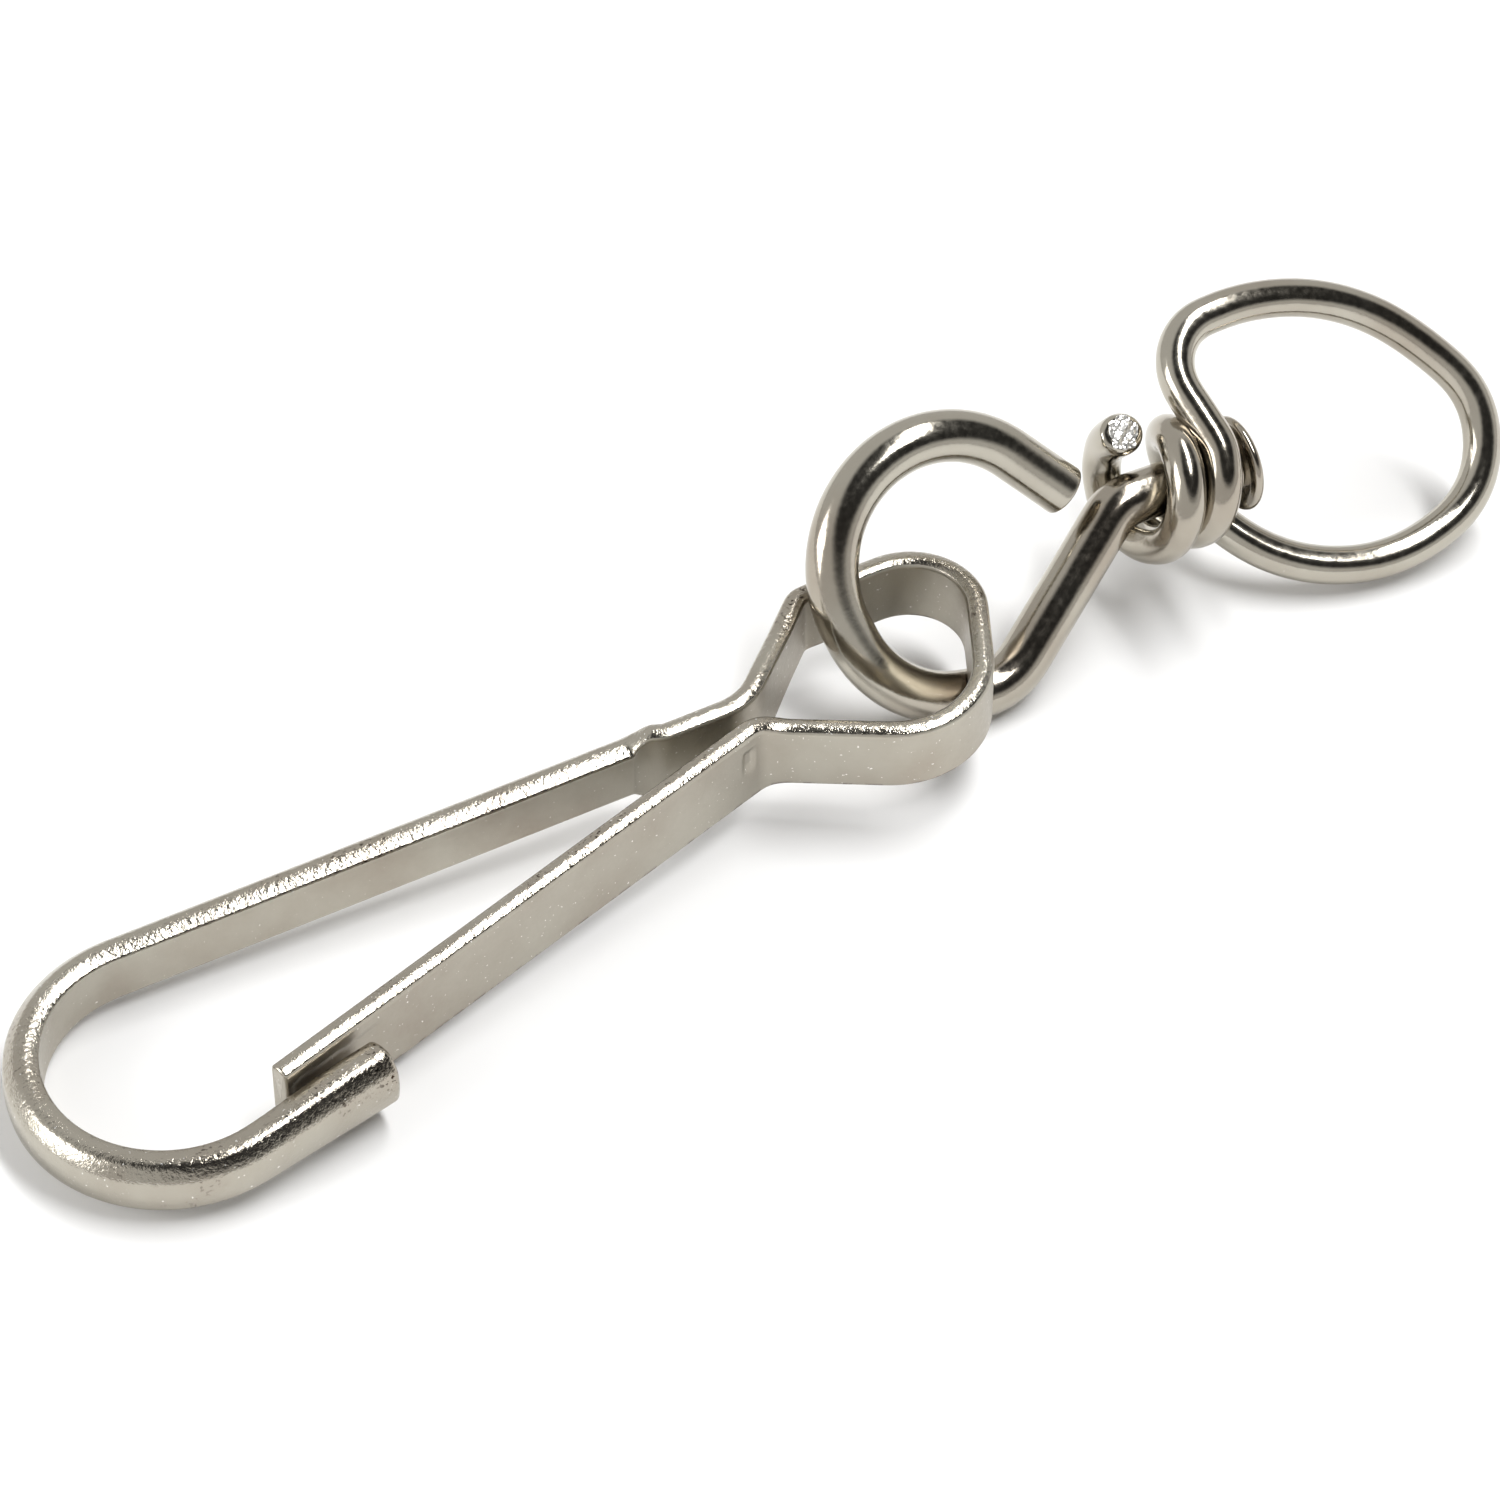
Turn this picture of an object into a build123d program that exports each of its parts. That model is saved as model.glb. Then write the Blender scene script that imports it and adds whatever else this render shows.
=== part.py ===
"""Small plated wire snap hook with a swivel link and a ring.

Four pieces, all bent wire: the hook (bow, nose, spine, neck and loop), its
springy gate leaf, the swivel link through the loop, and the ring wound on
the link's shank.

Frame: +X runs from the bow to the ring, +Y away from the gate, +Z up from
the surface the clip lies on.  The origin is the middle of the bounding box's
underside.
"""
from build123d import *
from math import cos, pi, radians, sin
import os

os.makedirs("parts", exist_ok=True)

# Placement ------------------------------------------------------------------
GATE_BEND = (-1.442, 0.50, 2.479)   # hook plane's reference point beside the gate root
HOOK_TILT = 3.3                   # the ring end of the hook lies raised, degrees

# Hook wire: half-flattened section of bow, nose and spine ---------------------
WIRE_T = 1.10          # across the hook plane's thickness direction
INNER_HALF = 0.83      # half height of the flat inner face
CROWN_HALF = 0.96      # half height at the crowned top and underside
OUTER_HALF = 0.86      # half height where the crown meets the outer face
OUTER_DOME = 0.13      # the outer face bulges by this much
CROWN_TOP = -0.05      # the crown is highest here across the thickness
SHOULDER = 0.8         # length of the step down to the strip
SHOULDER_R = 1.1
SHOULDER_HALF = 0.90   # half height of the step
SPINE_Y = 0.70         # inner face of the spine
SPINE_END_X = -3.3     # the thick section stops here
BOW_X = -19.97         # bow centre
BOW_R = 3.62           # inner radius of the bow
BOW_SWEEP = 192.0      # degrees from spine to nose
NOSE_LENGTH = 4.6      # straight run after the bow

# Hook wire: flattened strip of neck, loop and gate ----------------------------
STRIP_T = 0.65
NECK_HALF = 1.37
LOOP_HALF = 1.22
GATE_HALF = 1.44
STRIP_CROWN = 0.10     # the strip's edges bulge by this much
NECK_Y = 0.82          # centre line of the neck
LOOP_POINTS = [(-3.0, NECK_Y), (0.33, NECK_Y), (3.69, 3.95), (9.60, 3.955), (6.13, -3.54)]
LOOP_RADII = [1.90, 0.72, 1.98, 2.75]
ROOT = (0.28, -0.151)  # the gate bends here
NECK_LENGTH = 2.9      # the taller part of the neck

# Gate leaf --------------------------------------------------------------------
GATE_SLOPE = 16.6      # degrees from the spine, closed
GATE_LENGTH = 18.85
ROOT_GAP = 0.045       # working gap round the root knuckle

# Swivel link --------------------------------------------------------------------
LINK_D = 1.60
EYE_AT = (8.178, 2.955, 1.70)       # eye centre from the reference point
EYE_TILT = 54.0                   # plane of the eye from the horizontal
EYE_R = 3.80                      # centre line of the eye
EYE_START = 42.0                  # the open end meets the round part here
EYE_TURN = 218.0
EYE_SIDE = 195.0                  # a short straight here makes the eye a little long
EYE_LONG = 0.35
EYE_TIP = 2.20                    # straight open end
SLANT = 41.0                      # direction of the run back to the axis
EYE_RUN = 1.50                    # straight distance from the round part to the slant's corner
SLANT_R = 2.40
SHANK_BEND_R = 1.50
SHANK_JOIN = 7.5                   # the straight shank starts by here
SHANK_END = 10.22                 # middle of the button
BUTTON_D = 3.00
BUTTON_T = 0.55
BUTTON_UNDER_R = 0.16              # rounding of the button's rim

# Ring wire --------------------------------------------------------------------
RING_D = 1.20
RING_TILT = 48.0                  # plane of the ring from the horizontal
RING_POINTS = [(11.75, -5.55), (18.18, -3.45), (19.02, -0.45), (14.80, 4.87), (8.44, 4.42)]
RING_RADII = [5.60, 2.72, 2.59, 7.51, 1.84]
COIL_R = LINK_D / 2 + RING_D / 2 + 0.13
COIL_PITCH = 2.52                 # two starts, so 1.26 from turn to turn
COIL_STEP = 45.0                  # degrees per bend of the wound wire
LONG_START = -56.0                # the lower limb joins the coil here, seen along the axis
LONG_X = 8.95
LONG_BENDS = 12                   # bends in the long wound end
LATE_FROM = 9                     # from this bend they come after fewer degrees
LATE_STEP = 33.0
SHORT_START = 110.0               # the upper limb joins the coil here
SHORT_X = 9.07
SHORT_BENDS = 5                   # bends in the short wound end
LOOSE_FROM = 4                    # the long end stands off the shank from this bend
LOOSE_R = 0.045                   # growth of the radius per bend
LEAN_FROM = 8                     # from this bend it leans back towards the coil
LEAN = -0.10                      # by this fraction of the pitch

tilt = radians(HOOK_TILT)
base = Vector(*GATE_BEND)
hook_plane = Plane(origin=base, x_dir=(cos(tilt), 0, sin(tilt)), z_dir=(-sin(tilt), 0, cos(tilt)))
eye_centre = base + Vector(*EYE_AT)
eye_tilt = radians(EYE_TILT)
eye_plane = Plane(origin=eye_centre, x_dir=(1, 0, 0), z_dir=(0, -sin(eye_tilt), cos(eye_tilt)))


def across(origin, outward):
    """Section plane on the hook plane: local x points outward, local y up."""
    start = hook_plane.from_local_coords(Vector(*origin))
    x_dir = hook_plane.x_dir * outward[0] + hook_plane.y_dir * outward[1]
    return Plane(origin=start, x_dir=x_dir, z_dir=x_dir.cross(hook_plane.z_dir))


def strip_section(plane, half):
    """Flattened strip's section: flat faces and slightly bulging edges."""
    t = STRIP_T / 2
    flat = half - STRIP_CROWN
    with BuildSketch(plane) as section:
        with BuildLine():
            Line((-t, -flat), (-t, flat))
            ThreePointArc((-t, flat), (0, half), (t, flat))
            Line((t, flat), (t, -flat))
            ThreePointArc((t, -flat), (0, -half), (-t, -flat))
        make_face()
    return section.sketch


# Hook wire --------------------------------------------------------------------
bow_centre = (BOW_X, SPINE_Y - BOW_R)
spine_mid = SPINE_Y + WIRE_T / 2
mid_r = BOW_R + WIRE_T / 2

with BuildPart() as hook_wire:
    with BuildLine(hook_plane) as bow_path:
        Line((SPINE_END_X, spine_mid), (BOW_X, spine_mid))
        bow_run = CenterArc(bow_centre, mid_r, 90, BOW_SWEEP)
        Line(bow_run @ 1, (bow_run @ 1) + (bow_run % 1) * NOSE_LENGTH)
    with BuildSketch(across((SPINE_END_X, spine_mid), (0, 1))):
        t = WIRE_T / 2
        with BuildLine():
            Line((-t, -INNER_HALF), (-t, INNER_HALF))
            ThreePointArc((-t, INNER_HALF), (CROWN_TOP, CROWN_HALF), (t - OUTER_DOME, OUTER_HALF))
            ThreePointArc((t - OUTER_DOME, OUTER_HALF), (t, 0), (t - OUTER_DOME, -OUTER_HALF))
            ThreePointArc((t - OUTER_DOME, -OUTER_HALF), (CROWN_TOP, -CROWN_HALF), (-t, -INNER_HALF))
        make_face()
    sweep(path=bow_path.line)
    # The outer side steps in where the thick section meets the flat neck.
    with BuildSketch(hook_plane):
        with BuildLine():
            step_end = SPINE_END_X + SHOULDER
            Polyline((step_end, NECK_Y - STRIP_T / 2), (SPINE_END_X, SPINE_Y),
                     (SPINE_END_X, SPINE_Y + WIRE_T - OUTER_DOME))
            RadiusArc((SPINE_END_X, SPINE_Y + WIRE_T - OUTER_DOME),
                      (step_end, NECK_Y + STRIP_T / 2), SHOULDER_R)
            Line((step_end, NECK_Y + STRIP_T / 2), (step_end, NECK_Y - STRIP_T / 2))
        make_face()
    extrude(amount=SHOULDER_HALF, both=True)
    with BuildLine(hook_plane) as loop_path:
        FilletPolyline(*LOOP_POINTS, ROOT, radius=LOOP_RADII)
    neck_plane = across(LOOP_POINTS[0], (0, 1))
    sweep(strip_section(neck_plane, LOOP_HALF), path=loop_path.line)
    extrude(strip_section(neck_plane, NECK_HALF), amount=NECK_LENGTH)
    # The gate's knuckle turns in this hollow.
    with BuildSketch(hook_plane.offset(-GATE_HALF)):
        with Locations(ROOT):
            Circle(STRIP_T / 2 + ROOT_GAP)
    extrude(amount=2 * GATE_HALF, mode=Mode.SUBTRACT)
hook_wire.part.label = "hook_wire"
export_step(hook_wire.part, "parts/hook_wire.step")

# Gate leaf --------------------------------------------------------------------
slope = radians(GATE_SLOPE)
with BuildPart() as gate_leaf:
    extrude(strip_section(across(ROOT, (-sin(slope), cos(slope))), GATE_HALF), amount=-GATE_LENGTH)
    with BuildSketch(hook_plane.offset(-GATE_HALF + STRIP_CROWN)):
        with Locations(ROOT):
            Circle(STRIP_T / 2)
    extrude(amount=2 * (GATE_HALF - STRIP_CROWN))
gate_leaf.part.label = "gate_leaf"
export_step(gate_leaf.part, "parts/gate_leaf.step")

# Swivel link --------------------------------------------------------------------
eye_start = radians(EYE_START)
eye_end = radians(EYE_START + EYE_TURN)
tip_joint = (EYE_R * cos(eye_start), EYE_R * sin(eye_start))
tip_end = (tip_joint[0] + EYE_TIP * sin(eye_start), tip_joint[1] - EYE_TIP * cos(eye_start))
slant = radians(SLANT)
side = radians(EYE_SIDE)
long_x = -EYE_LONG * sin(side)
long_y = EYE_LONG * cos(side)
round_end = (long_x + EYE_R * cos(eye_end), long_y + EYE_R * sin(eye_end))
slant_corner = (round_end[0] - EYE_RUN * sin(eye_end), round_end[1] + EYE_RUN * cos(eye_end))
shank_corner = (slant_corner[0] - slant_corner[1] * cos(slant) / sin(slant), 0.0)

with BuildPart() as swivel_link:
    with BuildLine(eye_plane) as link_path:
        Line(tip_end, tip_joint)
        first_arc = CenterArc((0, 0), EYE_R, EYE_START, EYE_SIDE - EYE_START)
        Line(first_arc @ 1, (first_arc @ 1) + (first_arc % 1) * EYE_LONG)
        CenterArc((long_x, long_y), EYE_R, EYE_SIDE, EYE_START + EYE_TURN - EYE_SIDE)
        FilletPolyline(round_end, slant_corner, shank_corner, (SHANK_JOIN, 0.0),
                       radius=[SLANT_R, SHANK_BEND_R])
    with BuildSketch(Plane(origin=link_path.line @ 0, z_dir=link_path.line % 0)):
        Circle(LINK_D / 2)
    sweep(path=link_path.line)
    with BuildSketch(eye_plane):
        with BuildLine():
            left = SHANK_END - BUTTON_T / 2
            rim = BUTTON_D / 2
            Polyline((SHANK_JOIN, 0), (SHANK_JOIN, LINK_D / 2), (left, LINK_D / 2),
                     (left, rim - BUTTON_UNDER_R))
            ThreePointArc((left, rim - BUTTON_UNDER_R), (left + BUTTON_UNDER_R, rim),
                          (left + 2 * BUTTON_UNDER_R, rim - BUTTON_UNDER_R))
            Line((left + 2 * BUTTON_UNDER_R, rim - BUTTON_UNDER_R), (left + BUTTON_T, rim / 2))
            Polyline((left + BUTTON_T, rim / 2), (left + BUTTON_T, 0), (SHANK_JOIN, 0))
        make_face()
    revolve(axis=Axis(eye_centre, (1, 0, 0)))
swivel_link.part.label = "swivel_link"
export_step(swivel_link.part, "parts/swivel_link.step")

# Ring wire --------------------------------------------------------------------
ring_tilt = radians(RING_TILT)


def on_ring(x, s):
    """Point of the ring's plane, which contains the swivel axis."""
    return Vector(eye_centre.X + x, eye_centre.Y + s * cos(ring_tilt), eye_centre.Z + s * sin(ring_tilt))


def on_coil(x, radius, degrees):
    """Point beside the swivel axis; 0 is the far side and 90 the top."""
    a = radians(degrees)
    return Vector(eye_centre.X + x, eye_centre.Y + radius * cos(a), eye_centre.Z + radius * sin(a))


corner = 1 / cos(radians(COIL_STEP / 2))
step_x = COIL_PITCH * COIL_STEP / 360
long_end = []
x_here = LONG_X
for i in range(LONG_BENDS):
    radius = COIL_R + LOOSE_R * max(0, i - LOOSE_FROM)
    degrees = LONG_START + min(i, LATE_FROM) * COIL_STEP + max(0, i - LATE_FROM) * LATE_STEP
    long_end.append(on_coil(x_here, radius * corner, degrees))
    x_here -= step_x * (LEAN if i >= LEAN_FROM else 1.0)
short_end = [on_coil(SHORT_X - i * step_x, COIL_R * corner, SHORT_START + i * COIL_STEP)
             for i in range(SHORT_BENDS)]
ring_points = [on_ring(x, s) for x, s in RING_POINTS]
path_points = long_end[::-1] + ring_points + short_end
coil_bend_r = COIL_R * 0.97
path_radii = [coil_bend_r] * (LONG_BENDS - 1) + RING_RADII + [coil_bend_r] * (SHORT_BENDS - 1)

with BuildPart() as ring_wire:
    with BuildLine() as ring_path:
        FilletPolyline(*path_points, radius=path_radii)
    with BuildSketch(Plane(origin=ring_path.line @ 0, z_dir=ring_path.line % 0)):
        Circle(RING_D / 2)
    sweep(path=ring_path.line)
ring_wire.part.label = "ring_wire"
export_step(ring_wire.part, "parts/ring_wire.step")

print("ring volume", ring_wire.part.volume, "section x length", pi * RING_D ** 2 / 4 * ring_path.wires()[0].length)
print("link volume", swivel_link.part.volume, "section x length", pi * LINK_D ** 2 / 4 * link_path.wires()[0].length)
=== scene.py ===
"""Nickel-plated wire snap hook with a swivel link and a ring.

The hook is one length of wire: a half-flattened nose, bow and spine, then a
strip rolled flat for the neck, the loop and the springy gate leaf.  The link
and the ring are round wire.  All lengths below are millimetres and are turned
to metres where a mesh is made.
"""
import logging
from dataclasses import dataclass, field
from enum import Enum
from math import cos, pi, radians, sin, tan

import bpy
import numpy as np
from mathutils import Matrix, Vector


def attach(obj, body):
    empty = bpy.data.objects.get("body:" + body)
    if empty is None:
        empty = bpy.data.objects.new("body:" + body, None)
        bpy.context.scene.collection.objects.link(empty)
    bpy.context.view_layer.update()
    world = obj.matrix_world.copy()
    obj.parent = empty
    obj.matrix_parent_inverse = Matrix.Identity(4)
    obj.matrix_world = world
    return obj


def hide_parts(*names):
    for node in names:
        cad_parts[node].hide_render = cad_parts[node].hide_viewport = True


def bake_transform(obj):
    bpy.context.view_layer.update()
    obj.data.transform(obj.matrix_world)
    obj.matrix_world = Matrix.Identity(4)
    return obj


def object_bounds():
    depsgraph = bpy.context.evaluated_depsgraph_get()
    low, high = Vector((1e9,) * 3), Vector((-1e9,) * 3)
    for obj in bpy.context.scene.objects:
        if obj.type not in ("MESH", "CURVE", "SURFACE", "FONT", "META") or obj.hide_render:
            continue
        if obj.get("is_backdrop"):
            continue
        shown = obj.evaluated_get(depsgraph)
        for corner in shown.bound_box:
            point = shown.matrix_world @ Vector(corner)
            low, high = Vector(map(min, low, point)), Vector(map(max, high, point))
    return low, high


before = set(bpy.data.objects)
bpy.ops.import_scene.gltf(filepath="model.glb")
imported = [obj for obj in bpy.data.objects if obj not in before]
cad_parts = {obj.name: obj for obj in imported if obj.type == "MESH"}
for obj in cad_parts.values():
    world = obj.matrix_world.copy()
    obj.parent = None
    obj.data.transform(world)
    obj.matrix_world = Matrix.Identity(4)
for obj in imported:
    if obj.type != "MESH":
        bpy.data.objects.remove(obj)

Array = np.ndarray
log = logging.getLogger("snap_hook")
CAD_BOX = [[float(c) for c in corner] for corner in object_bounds()]
MM = 0.001

# Placement of the hook plane: its reference point beside the gate's root, and
# how far its ring end lies raised.
REFERENCE = (-1.442, 0.50, 2.479)
HOOK_TILT = 3.3

# How finely shapes are divided.
ARC_POINTS = 25          # along each filleted bend
SIDE_POINTS = 25         # along each side of a strip's section
CORNER_POINTS = 9        # round each corner of a strip's section
CAP_ROWS = 9             # from the edge of an end to its middle
EDGE_ROWS = 8            # round the edge of an end
TORN_ROWS = 8            # of the pinched end, from its middle, in bare steel

# Ends of a wire.
BROKEN_EDGE = 0.09       # edge radius of a sheared end
NOSE_EDGE = 0.22         # edge radius of the hook's nose
PINCH_PAST = 0.30        # how far the pinched end reaches past the wire
PINCH_IN = 0.24          # how far its outline draws in on the way
BUTTON_FOOT = 0.02       # where the button starts to spread
BUTTON_MIDDLE = 0.20     # middle of the button's rim
BUTTON_RIM = 0.17        # half the rim's thickness
BUTTON_SPREAD = 0.53     # how far the rim's middle stands out from the shank
BUTTON_DOME = 0.19       # rise of the button's face
BUTTON_CLOSE = 1.20      # how far the face draws in


class EndShape(Enum):
    """How a length of wire ends."""

    SHEARED = "sheared"      # square cut with a small broken edge
    NOSE = "nose"            # tumbled, well rounded end of the hook
    PINCHED = "pinched"      # pinched off with cutters, a torn face in the middle
    BUTTON = "button"        # upset into a flat button
    FLUSH = "flush"          # meets the next piece of the same wire


class Mark(Enum):
    """Per-point values that the finishes read."""

    CROWN = "crown"          # 1 on the bulging edges, 0 on the rolled flats
    UNDER = "under"          # 1 along the lower edge


# Small geometry tools -----------------------------------------------------------


def smoothstep(value: Array, low: float, high: float) -> Array:
    """Smooth ramp 3t^2 - 2t^3 from 0 at low to 1 at high.

    Args:
        value: where to read the ramp.
        low: start of the ramp.
        high: end of the ramp.

    Returns:
        The ramp, in the shape of value.
    """
    t = np.clip((value - low) / (high - low), 0.0, 1.0)
    return t * t * (3.0 - 2.0 * t)


def unit(vectors: Array) -> Array:
    """Vectors scaled to length 1 along the last axis."""
    return vectors / np.linalg.norm(vectors, axis=-1, keepdims=True)


def filleted(points: list[tuple[float, ...]], radii: list[float]) -> Array:
    """Straight runs joined by tangent arcs.

    At each inner corner the arc of the given radius touches both runs; its
    points are the two touching directions turned evenly into each other.

    Args:
        points: corners of the path, in two or three dimensions.
        radii: one arc radius for each inner corner.

    Returns:
        Points along the path.
    """
    corners = np.asarray(points, float)
    back = unit(corners[:-2] - corners[1:-1])
    ahead = unit(corners[2:] - corners[1:-1])
    half = np.arccos(np.clip(np.sum(back * ahead, axis=1), -1.0, 1.0)) / 2.0
    radius = np.asarray(radii, float)
    centre = corners[1:-1] + unit(back + ahead) * (radius / np.sin(half))[:, None]
    reach = (radius / np.tan(half))[:, None]
    first = (corners[1:-1] + back * reach - centre) / radius[:, None]
    last = (corners[1:-1] + ahead * reach - centre) / radius[:, None]
    turn = (pi - 2.0 * half)[:, None, None]
    t = np.linspace(0.0, 1.0, ARC_POINTS)[None, :, None]
    arcs = (np.sin((1 - t) * turn) * first[:, None] + np.sin(t * turn) * last[:, None]) / np.sin(turn)
    arcs = centre[:, None] + arcs * radius[:, None, None]
    return np.vstack([corners[:1], arcs.reshape(-1, corners.shape[1]), corners[-1:]])


def even_path(points: Array, step: float, softness: float) -> Array:
    """Resamples a path evenly and eases its changes of curvature.

    The coordinates are read at even distances along the path and averaged with
    a bell curve of the given width; both ends are continued straight so they
    keep their place.

    Args:
        points: rough path.
        step: distance between the new points.
        softness: width of the bell curve.

    Returns:
        Evenly spaced points.
    """
    for width in (softness, 0.0):
        lengths = np.r_[0.0, np.cumsum(np.linalg.norm(np.diff(points, axis=0), axis=1))]
        keep = np.r_[True, np.diff(lengths) > 1e-9]
        points, lengths = points[keep], lengths[keep]
        at = np.linspace(0.0, lengths[-1], int(round(lengths[-1] / step)) + 1)
        points = np.column_stack([np.interp(at, lengths, axis) for axis in points.T])
        if width:
            reach = int(np.ceil(3 * width / step))
            bell = np.exp(-0.5 * (np.arange(-reach, reach + 1) * step / width) ** 2)
            run = np.arange(reach, 0, -1)[:, None]
            start = points[0] - run * (points[1] - points[0])
            end = points[-1] + run[::-1] * (points[-1] - points[-2])
            long = np.vstack([start, points, end])
            points = np.column_stack([np.convolve(axis, bell / bell.sum(), "valid") for axis in long.T])
    return points


@dataclass(frozen=True)
class Plane:
    """A flat drawing plane in the row frame, in millimetres."""

    origin: Array
    x_dir: Array
    y_dir: Array

    @property
    def normal(self) -> Array:
        """Direction out of the plane."""
        return np.cross(self.x_dir, self.y_dir)

    def lift(self, flat: Array) -> Array:
        """Points of the plane as points in space."""
        return self.origin + flat[:, :1] * self.x_dir + flat[:, 1:2] * self.y_dir


def hook_plane() -> Plane:
    """Middle plane of the hook, tilted up towards the ring."""
    tilt = radians(HOOK_TILT)
    return Plane(np.array(REFERENCE), np.array([cos(tilt), 0.0, sin(tilt)]), np.array([0.0, 1.0, 0.0]))


# Swept wire ---------------------------------------------------------------------


def box_outline(thick: float, tall: float, inner_r: float, outer_r: float, crown: float,
                dome: float) -> Array:
    """Section of a rolled strip.

    A rectangle with rounded corners whose top and bottom bulge by
    crown * (1 - u^2) and whose outer face bulges by dome * (1 - v^2), where u
    and v run from -1 to 1 across it.

    Args:
        thick: thickness without the dome.
        tall: height without the crowns.
        inner_r: corner radius at the inner face.
        outer_r: corner radius at the outer face.
        crown: bulge of top and bottom.
        dome: bulge of the outer face.

    Returns:
        Closed outline, first column outward, second column up.
    """
    p, z = thick / 2, tall / 2
    ease = (1.0 - np.cos(np.linspace(0.0, pi, SIDE_POINTS))) / 2.0
    bend = np.linspace(0.0, pi / 2, CORNER_POINTS)
    sides = []
    corner_list = [(1, 1, outer_r), (-1, 1, inner_r), (-1, -1, inner_r), (1, -1, outer_r)]
    for number, (sp, sz, r) in enumerate(corner_list):
        angle = bend + number * pi / 2
        sides.append(np.column_stack([sp * (p - r) + r * np.cos(angle), sz * (z - r) + r * np.sin(angle)]))
        tp, tz, tr = corner_list[(number + 1) % 4]
        following = np.array([tp * (p - tr), tz * (z - tr)]) + tr * np.array([cos(angle[-1]), sin(angle[-1])])
        sides.append(sides[-1][-1] + ease[1:-1, None] * (following - sides[-1][-1]))
    outline = np.vstack(sides)
    u = np.clip(outline[:, 0] / p, -1.0, 1.0)
    v = np.clip(outline[:, 1] / z, -1.0, 1.0)
    outline[:, 1] += np.sign(v) * np.abs(v) ** 6 * crown * (1.0 - u**2)
    outline[:, 0] += np.where(u > 0, np.abs(u) ** 4 * dome * (1.0 - v**2), 0.0)
    return outline


def round_outline(count: int = 56) -> Array:
    """Unit circle."""
    angle = np.linspace(0.0, 2.0 * pi, count, endpoint=False)
    return np.column_stack([np.cos(angle), np.sin(angle)])


def button_profile() -> Array:
    """Rows of the upset button: its underside, its round rim and its shallow domed face."""
    under = np.column_stack([np.full(4, BUTTON_FOOT), -np.linspace(0.06, 0.52, 4)])
    rim = np.linspace(-pi / 2, pi / 2, 15)
    edge = np.column_stack([BUTTON_MIDDLE + BUTTON_RIM * np.sin(rim),
                            -BUTTON_SPREAD - BUTTON_RIM * np.cos(rim)])
    dome = np.linspace(0.0, 1.0, EDGE_ROWS)[1:]
    face = np.column_stack([BUTTON_MIDDLE + BUTTON_RIM + BUTTON_DOME * np.sin(dome * pi / 2),
                            -BUTTON_SPREAD + BUTTON_CLOSE * dome**1.3])
    return np.vstack([under, edge, face])


def end_profile(shape: EndShape) -> Array:
    """Rows added past the end of a wire.

    Args:
        shape: kind of end.

    Returns:
        Rows of (distance past the end, how far the outline draws in).
    """
    bend = np.linspace(0.0, pi / 2, EDGE_ROWS)[1:]
    rounded = np.column_stack([np.sin(bend), 1.0 - np.cos(bend)])
    if shape is EndShape.SHEARED:
        return BROKEN_EDGE * rounded
    if shape is EndShape.NOSE:
        return NOSE_EDGE * rounded
    if shape is EndShape.PINCHED:
        return rounded * [PINCH_PAST, PINCH_IN]
    if shape is EndShape.BUTTON:
        return button_profile()
    return np.zeros((0, 2))


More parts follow.
